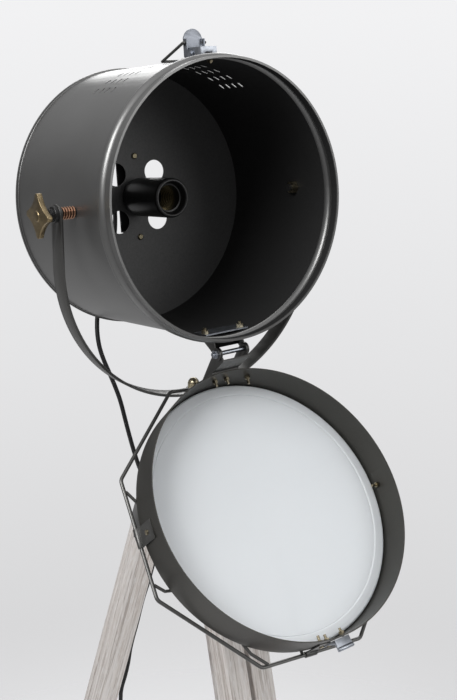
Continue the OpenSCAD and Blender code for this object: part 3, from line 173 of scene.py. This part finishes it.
# From the bend to the top of the inline switch
FLEX_UPPER = [
    (4, 237, 1240), (1, 234, 1224), (-5, 230.5, 1209), (-12.5, 227, 1193), (-20.5, 223, 1178),
    (-28.5, 218.5, 1162), (-36, 213.5, 1146), (-42, 208, 1129), (-45.5, 203, 1112),
    (-46, 198, 1095), (-43, 194, 1079), (-37.5, 190.5, 1062), (-31, 188, 1043), (-25, 186, 1023),
    (-18.5, 185, 994), (-10.5, 184, 961), (-2, 184, 933), (2, 184, 924), (7, 184, 918),
    (14.5, 184, 912), (20, 184, 905), (23, 184, 898), (24, 184, 891), (24, 184, 886.6)]
# From the bottom of the switch, beside the leg, to the coil
FLEX_LOWER = [
    (24, 184, 809.4), (24, 184, 805.4), (20, 184, 797), (10, 184, 768), (0, 184, 743),
    (-9, 184, 714), (-19, 184, 684), (-24, 184, 660), (-29, 184, 643), (-35, 184, 626),
    (-37, 184, 606), (-38, 185, 540), (-36, 188, 400), (-33, 189, 240), (-34, 180, 100),
    (-44, 166, 30), (-64, 154, 8), (-84, 157, 4), (-95, 171, 4), (-98, 188, 4), COIL_START]
# From the coil to the plug
FLEX_TAIL = [(-28, 187, 18), (-24, 178, 12), (-16, 171, 8), (-4, 168, 7), (6, 168, 7)]


def behind_gland(d):
    """A point on the head's axis, at a distance behind the gland's end."""
    fwd = -GLAND_END - d
    return (0, AXIS_Y - fwd * math.cos(TILT), TILT_Z + fwd * math.sin(TILT))


def flex_bend(turned):
    """A point of the bend below the gland, where the flex has turned through an angle."""
    a = math.radians(turned)
    back, down = FLEX_BEND_R * math.sin(a), FLEX_BEND_R * (1 - math.cos(a))
    x, y, z = behind_gland(FLEX_BENDS)
    return (x + down * math.sin(FLEX_LEAN),
            y + back * math.cos(TILT) - down * math.cos(FLEX_LEAN) * math.sin(TILT),
            z - back * math.sin(TILT) - down * math.cos(FLEX_LEAN) * math.cos(TILT))


def coil_points():
    """Flat spirals, two turns in and two turns out again, one on top of another."""
    points = []
    for k in range(1, int(COIL_STEPS * COIL_TURNS) + 1):
        t = k / COIL_STEPS
        a = math.pi - 2 * math.pi * t
        r = COIL_R + COIL_PITCH * abs(t % 4 - 2)
        layer = sum(max(0.0, min(1.0, (t - turn + COIL_CLIMB / 2) / COIL_CLIMB))
                    for turn in (2, 4, 6))
        points.append((COIL_AT[0] + r * math.cos(a), COIL_AT[1] + r * math.sin(a),
                       COIL_Z + COIL_PITCH * layer))
    return points


upper_line = even_out(catmull([behind_gland(FLEX_STARTS), behind_gland(FLEX_BENDS)]
                              + [flex_bend(a) for a in BEND_AT] + metres(FLEX_UPPER), FINE))
flex_upper = sweep("flex_upper_cord", upper_line, FLEX_R)
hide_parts("flex_upper")

lower_line = (catmull(metres(FLEX_LOWER), FINE)[:-1]
              + catmull(metres([COIL_START] + coil_points() + FLEX_TAIL), COARSE))
flex_lower = sweep("flex_lower_cord", lower_line, FLEX_R, sides=12)
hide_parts("flex_lower", "flex_coil", "flex_tail")


# ---------------------------------------------------------------- materials
class Mat:
    """A node material with small helpers, in the piece's own coordinates."""

    def __init__(self, name):
        self.mat = bpy.data.materials.new(name)
        self.mat.use_nodes = True
        self.tree = self.mat.node_tree
        self.bsdf = self.tree.nodes["Principled BSDF"]
        self.coord = self.tree.nodes.new("ShaderNodeTexCoord").outputs["Object"]

    def put(self, socket, value):
        if isinstance(value, bpy.types.NodeSocket):
            self.tree.links.new(value, socket)
        else:
            socket.default_value = value

    def node(self, kind, **sockets):
        n = self.tree.nodes.new(kind)
        for key, value in sockets.items():
            self.put(n.inputs[key.replace("_", " ")], value)
        return n

    def set(self, **sockets):
        for key, value in sockets.items():
            self.put(self.bsdf.inputs[key.replace("_", " ")], value)

    def place(self, location, rotation):
        """Coordinates in a frame that is moved and turned from the piece's own."""
        n = self.node("ShaderNodeMapping", Vector=self.coord)
        n.vector_type = "TEXTURE"
        n.inputs["Location"].default_value = location
        n.inputs["Rotation"].default_value = rotation
        return n.outputs["Vector"]

    def along(self, vector, scale):
        """The vector with its Z scaled, which draws a grain out along Z."""
        n = self.node("ShaderNodeMapping", Vector=vector)
        n.inputs["Scale"].default_value = (1, 1, scale)
        return n.outputs["Vector"]

    def parts(self, vector):
        return self.node("ShaderNodeSeparateXYZ", Vector=vector).outputs

    def math(self, op, a, b=0.0):
        n = self.tree.nodes.new("ShaderNodeMath")
        n.operation = op
        self.put(n.inputs[0], a)
        self.put(n.inputs[1], b)
        return n.outputs[0]

    def linear(self, value, gain, base):
        return self.math("ADD", self.math("MULTIPLY", value, gain), base)

    def length(self, *terms):
        """Length of the vector with these parts."""
        total = None
        for term in terms:
            square = self.math("MULTIPLY", term, term)
            total = square if total is None else self.math("ADD", total, square)
        return self.math("SQRT", total)

    def step(self, value, low, high):
        """Smoothly from 0 to 1 as the value goes from low to high."""
        n = self.node("ShaderNodeMapRange", Value=value, From_Min=low, From_Max=high)
        n.interpolation_type = "SMOOTHSTEP"
        return n.outputs["Result"]

    def noise(self, vector, scale, detail, rough=0.5, distortion=0.0):
        n = self.node("ShaderNodeTexNoise", Vector=vector, Scale=scale, Detail=detail,
                      Roughness=rough, Distortion=distortion)
        return n.outputs["Fac"]

    def ramp(self, value, *stops):
        n = self.node("ShaderNodeValToRGB", Fac=value)
        e = n.color_ramp.elements
        while len(e) < len(stops):
            e.new(0.5)
        for element, (at, colour) in zip(e, stops):
            element.position = at
            if isinstance(colour, (int, float)):
                colour = grey(colour)
            element.color = (*colour, 1)
        return n.outputs["Color"]

    def mix(self, fac, a, b):
        n = self.tree.nodes.new("ShaderNodeMix")
        n.data_type = "RGBA"
        self.put(n.inputs["Factor"], fac)
        for socket, value in ((n.inputs["A"], a), (n.inputs["B"], b)):
            if isinstance(value, tuple) and len(value) == 3:
                value = (*value, 1)
            self.put(socket, value)
        return n.outputs["Result"]

    def bump(self, height, distance, strength):
        """Last call on a material, which it returns."""
        n = self.node("ShaderNodeBump", Height=height, Distance=distance, Strength=strength)
        self.put(self.bsdf.inputs["Normal"], n.outputs["Normal"])
        return self.mat


def grey(value):
    return (value,) * 3


def shade(colour, gain):
    return tuple(min(1, c * gain) for c in colour)


# The drum's colour changes from the near-black painted shade inside to the gunmetal outside
# between these, the first pair away from its axis and the second forward along it, at the front
# hem
DRUM_SKIN = (0.1476, 0.1479)
DRUM_HEM = (0.0735, 0.0742)


def drum_paint_with_inner_shade(name):
    """Gunmetal outside; inside the drum, matt, with near-black painted shade for its colour."""
    t = Mat(name)
    x, rise, fwd = t.parts(t.place(PIVOT, (math.radians(90) - TILT, 0, 0)))
    outside = t.math("MAXIMUM", t.step(t.length(x, rise), *DRUM_SKIN), t.step(fwd, *DRUM_HEM))
    fine = t.noise(t.coord, scale=1500, detail=3)
    leather = t.noise(t.coord, scale=420, detail=4, rough=0.6)
    cloud = t.noise(t.coord, scale=12, detail=5, rough=0.6)
    shell = t.mix(cloud, (0.17, 0.169, 0.166), (0.215, 0.215, 0.213))
    # painted shade: the inside is the same gunmetal paint, drawn near-black for the shade that
    # falls in the drum
    inner_painted_shade = t.mix(leather, grey(0.006), grey(0.016))
    t.set(Base_Color=t.mix(outside, inner_painted_shade, shell), Metallic=t.math("MULTIPLY", outside, 0.85))
    duller = t.math("MULTIPLY", t.math("SUBTRACT", 1, outside), 0.3)
    t.set(Roughness=t.math("ADD", t.linear(cloud, gain=0.12, base=0.30), duller))
    height = t.math("ADD", t.math("MULTIPLY", fine, 0.4), t.math("MULTIPLY", leather, 0.6))
    return t.bump(height, distance=0.00006, strength=0.5)


def plate_paint(name):
    """The back plate's crinkled dark grey."""
    t = Mat(name)
    leather = t.noise(t.coord, scale=380, detail=5, rough=0.65)
    cloud = t.noise(t.coord, scale=16, detail=4, rough=0.6)
    base = t.mix(leather, grey(0.045), grey(0.115))
    t.set(Base_Color=t.mix(t.math("MULTIPLY", cloud, 0.3), base, grey(0.12)))
    t.set(Metallic=0.2, Roughness=0.5)
    return t.bump(leather, distance=0.00018, strength=0.7)


def painted(name, colour, rough, metal, specks, grain=0.00004):
    """Satin metallic paint: fine grain and a cloudy sheen."""
    t = Mat(name)
    fine = t.noise(t.coord, scale=1400, detail=2)
    cloud = t.noise(t.coord, scale=14, detail=5, rough=0.6)
    lite = shade(colour, 1 + specks)
    base = t.mix(cloud, shade(colour, 1 - specks), lite)
    base = t.mix(t.ramp(fine, (0.35, 0.0), (0.75, 1.0)), base, lite)
    t.set(Base_Color=base, Metallic=metal)
    t.set(Roughness=t.linear(cloud, gain=0.14, base=rough - 0.07))
    return t.bump(fine, distance=grain, strength=0.5)


def plated(name, colour, rough, wear, patches):
    """Bare or plated metal with stains, patches of them to a metre, and fine scratches."""
    t = Mat(name)
    stain = t.noise(t.coord, scale=patches, detail=6, rough=0.65)
    fine = t.noise(t.along(t.coord, 14), scale=900, detail=3)
    base = t.mix(t.ramp(stain, (0.3, 0.0), (0.65, 1.0)), shade(colour, 1 - wear), colour)
    t.set(Base_Color=base, Metallic=1.0)
    t.set(Roughness=t.linear(stain, gain=0.3, base=rough - 0.15))
    return t.bump(fine, distance=0.00005, strength=0.6)


def moulded(name, colour, rough, grain=0.00006):
    """Rubber or plastic with a fine even grain."""
    t = Mat(name)
    fine = t.noise(t.coord, scale=2600, detail=2)
    cloud = t.noise(t.coord, scale=60, detail=3)
    t.set(Base_Color=t.mix(cloud, shade(colour, 0.8), colour))
    t.set(Roughness=t.linear(cloud, gain=0.12, base=rough - 0.06))
    return t.bump(fine, distance=grain, strength=0.6)


LEG_TURNS = {1: -90, 2: 30, 3: 150}     # degrees around the hub
LEG_SLOPE = math.radians(14.9)
LEG_TOP_R, LEG_TOP_Z = 0.038, 0.969     # a leg's pivot, from the hub's axis and the floor


def whitewashed(name, turn):
    """Ash with open grain along one leg, limed white, brown in the pores."""
    t = Mat(name)
    a = math.radians(turn)
    top = (LEG_TOP_R * math.cos(a), AXIS_Y + LEG_TOP_R * math.sin(a), LEG_TOP_Z)
    leg = t.place(top, (0, -LEG_SLOPE, a))
    rings = t.noise(t.along(leg, 0.035), scale=150, detail=6, rough=0.65, distortion=0.4)
    pores = t.noise(t.along(leg, 0.022), scale=620, detail=3, rough=0.6)
    lime = t.noise(t.along(leg, 0.09), scale=900, detail=2, rough=0.6)
    wide = t.noise(t.along(leg, 0.12), scale=26, detail=4, distortion=0.4)
    base = t.ramp(rings, (0.30, (0.42, 0.355, 0.315)), (0.44, (0.59, 0.54, 0.50)),
                  (0.56, (0.73, 0.69, 0.66)), (0.72, (0.52, 0.455, 0.415)))
    base = t.mix(t.math("MULTIPLY", wide, 0.45), base, (0.74, 0.71, 0.69))
    dark = t.ramp(pores, (0.36, 1.0), (0.47, 0.0))
    base = t.mix(t.math("MULTIPLY", dark, 0.5), base, (0.27, 0.215, 0.18))
    pale = t.ramp(lime, (0.52, 0.0), (0.66, 1.0))
    base = t.mix(t.math("MULTIPLY", pale, 0.55), base, (0.80, 0.79, 0.78))
    t.set(Base_Color=base, Roughness=t.linear(rings, gain=0.2, base=0.55))
    height = t.math("SUBTRACT", t.math("MULTIPLY", rings, 0.6), t.math("MULTIPLY", dark, 0.8))
    return t.bump(height, distance=0.0005, strength=0.7)


def frosted(name):
    """Acid-etched glass: milky, with a fine pebbled surface."""
    t = Mat(name)
    pebble = t.noise(t.coord, scale=900, detail=3, rough=0.6)
    cloud = t.noise(t.coord, scale=5, detail=3)
    t.set(Base_Color=t.mix(cloud, (0.86, 0.895, 0.92), (0.91, 0.935, 0.95)),
          Roughness=0.5, IOR=1.47, Transmission_Weight=0.3)
    return t.bump(pebble, distance=0.0002, strength=0.4)


# The record's slots, and the pieces whose look differs from the rest of their slot
MATERIALS = {
    "gunmetal": painted("gunmetal", (0.115, 0.114, 0.110), rough=0.36, metal=0.8, specks=0.18),
    "black_metal": painted("black_metal", grey(0.022), rough=0.42, metal=0.3, specks=0.3),
    "zinc": plated("zinc", (0.50, 0.53, 0.58), rough=0.36, wear=0.25, patches=160),
    "brass": plated("brass", (0.44, 0.385, 0.27), rough=0.30, wear=0.5, patches=260),
    "bronze": plated("bronze", (0.34, 0.265, 0.155), rough=0.36, wear=0.45, patches=90),
    "copper": plated("copper", (0.46, 0.26, 0.17), rough=0.38, wear=0.3, patches=300),
    "frosted_glass": frosted("frosted_glass"),
    "rubber": moulded("rubber", (0.007, 0.007, 0.0075), rough=0.5, grain=0.0001),
    "black_plastic": moulded("black_plastic", grey(0.013), rough=0.34),
}
WOODS = {i: whitewashed(f"limed_wood_{i}", turn) for i, turn in LEG_TURNS.items()}
OWN = {
    "drum_shell": drum_paint_with_inner_shade("drum_paint_with_inner_shade"),
    "back_plate": plate_paint("plate_paint"),
    "door_ring": painted("ring_paint", (0.062, 0.060, 0.054),
                         rough=0.42, metal=0.75, specks=0.3, grain=0.00008),
    "latch_lever": plated("dull_zinc", (0.34, 0.36, 0.40), rough=0.42, wear=0.25, patches=160),
    # the lampholder's contacts: dull brass, darkened further as painted shade deep inside the
    # lampholder
    "lamp_contacts": plated("brass_with_painted_shade", (0.13, 0.105, 0.055),
                            rough=0.30, wear=0.4, patches=260),
    "strap_screws": plated("dull_brass", (0.24, 0.21, 0.14), rough=0.34, wear=0.4, patches=260),
}
SLOTS = {s["node"]: s["material_slot"] for s in frame["record"]["subparts"]}
BODY = {n: b for b, ns in frame["record"]["behaviour"]["bodies"].items() for n in ns}


def paint(obj, mat):
    obj.data.materials.clear()
    obj.data.materials.append(mat)


for node, obj in NODES.items():
    slot = SLOTS[node]
    paint(obj, OWN.get(node) or (WOODS[int(node[-1])] if slot == "wood" else MATERIALS[slot]))

paint(flex_upper, MATERIALS["rubber"])
paint(flex_lower, MATERIALS["rubber"])

# ---------------------------------------------------------------- soft edges
FLAT = math.radians(1)          # faces of one flat side meet at less than this
SHARP = math.radians(35)        # an edge is broken if it is sharper than this
ONE_POINT = 1e-6


def soften(node, width, segments=2):
    """The CAD piece with its edges broken, as a piece of its own."""
    mesh = NODES[node].data.copy()
    obj = link(bpy.data.objects.new(node + "_fine", mesh))
    bm = bmesh.new()
    bm.from_mesh(mesh)
    bmesh.ops.remove_doubles(bm, verts=bm.verts, dist=ONE_POINT)
    bmesh.ops.dissolve_limit(bm, angle_limit=FLAT, verts=bm.verts, edges=bm.edges)
    bm.to_mesh(mesh)
    bm.free()
    mesh.shade_smooth()
    bevel = obj.modifiers.new("bevel", "BEVEL")
    bevel.width = width
    bevel.segments = segments
    bevel.limit_method = "ANGLE"
    bevel.angle_limit = SHARP
    bevel.harden_normals = True
    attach(obj, BODY[node])
    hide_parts(node)


for i in LEG_TURNS:
    soften(f"leg_battens_{i}", width=0.0014, segments=3)
    soften(f"leg_sleeve_{i}", width=0.0005)
    soften(f"foot_{i}", width=0.0015)
for node in ("yoke", "knob_left", "knob_right", "latch_base", "latch_lever", "latch_keeper",
             "hinge_bracket", "hinge_leaf", "guard_clips"):
    soften(node, width=0.0004)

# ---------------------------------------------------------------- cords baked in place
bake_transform(flex_upper)
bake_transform(flex_lower)

# ---------------------------------------------------------------- backdrop
world = bpy.data.worlds.new("studio")
scene.world = world
world.use_nodes = True
wt = world.node_tree
ray = wt.nodes.new("ShaderNodeTexCoord").outputs["Generated"]
ray_parts = wt.nodes.new("ShaderNodeSeparateXYZ")
wt.links.new(ray, ray_parts.inputs[0])
BLUER = 1.012                   # the backdrop's blue, against its red and green


def sky(*stops):
    """A backdrop whose brightness depends on height alone; stops are (height, grey)."""
    span = wt.nodes.new("ShaderNodeMapRange")
    span.inputs["From Min"].default_value = -1
    wt.links.new(ray_parts.outputs["Z"], span.inputs["Value"])
    ramp = wt.nodes.new("ShaderNodeValToRGB")
    wt.links.new(span.outputs[0], ramp.inputs["Fac"])
    e = ramp.color_ramp.elements
    while len(e) < len(stops):
        e.new(0.5)
    for element, (at, value) in zip(e, stops):
        element.position = (at + 1) / 2
        element.color = (value, value, value * BLUER, 1)
    shader = wt.nodes.new("ShaderNodeBackground")
    wt.links.new(ramp.outputs["Color"], shader.inputs["Color"])
    return shader.outputs[0]


lit = sky((-1, 0.55), (-0.45, 0.40), (-0.12, 0.16), (0.1, 0.16), (0.5, 0.55), (1, 1.0))
seen = sky((-0.55, 0.665), (-0.3, 0.775), (0, 0.885), (0.3, 0.90))
light_path = wt.nodes.new("ShaderNodeLightPath")
choice = wt.nodes.new("ShaderNodeMixShader")
wt.links.new(light_path.outputs["Is Camera Ray"], choice.inputs["Fac"])
wt.links.new(lit, choice.inputs[1])
wt.links.new(seen, choice.inputs[2])
wt.links.new(choice.outputs[0], wt.nodes["World Output"].inputs["Surface"])

# ---------------------------------------------------------------- floor
FLOOR_R = 1.6
FLOOR_SIDES = 96
FLOOR_FADES = (0.55, 1.5)       # from here outwards it fades into the backdrop
turns = [k / (FLOOR_SIDES / 2) * math.pi for k in range(FLOOR_SIDES)]
rim = [(FLOOR_R * math.cos(a), FLOOR_R * math.sin(a), 0) for a in turns]
floor = mesh_object("studio_floor", rim, [tuple(range(FLOOR_SIDES))], smooth=False)
ground = Mat("studio_floor")
floor_x, floor_y, _ = ground.parts(ground.coord)
clear = ground.step(ground.length(floor_x, floor_y), *FLOOR_FADES)
ground.set(Base_Color=(0.66, 0.66, 0.67, 1), Roughness=0.9,
           Alpha=ground.math("SUBTRACT", 1, clear),
           Emission_Color=(1, 1, 1, 1), Emission_Strength=0.08)
paint(floor, ground.mat)


# ---------------------------------------------------------------- lights
def lamp(name, location, target, side, power):
    data = bpy.data.lights.new(name, "AREA")
    data.shape = "RECTANGLE"
    data.size = data.size_y = side
    data.energy = power
    obj = link(bpy.data.objects.new(name, data))
    obj.location = location
    obj.rotation_euler = (Vector(target) - Vector(location)).to_track_quat("-Z", "Y").to_euler()


lamp("key", (-2.2, -0.6, 3.0), target=(0, 0, 1.2), side=1.4, power=60)
lamp("fill", (1.6, -2.8, 2.2), target=(0, 0, 1.1), side=1.6, power=22)
lamp("rim", (1.6, 2.2, 2.4), target=(0, 0, 1.2), side=1.6, power=30)

scene.view_settings.view_transform = "Standard"
scene.view_settings.look = "None"
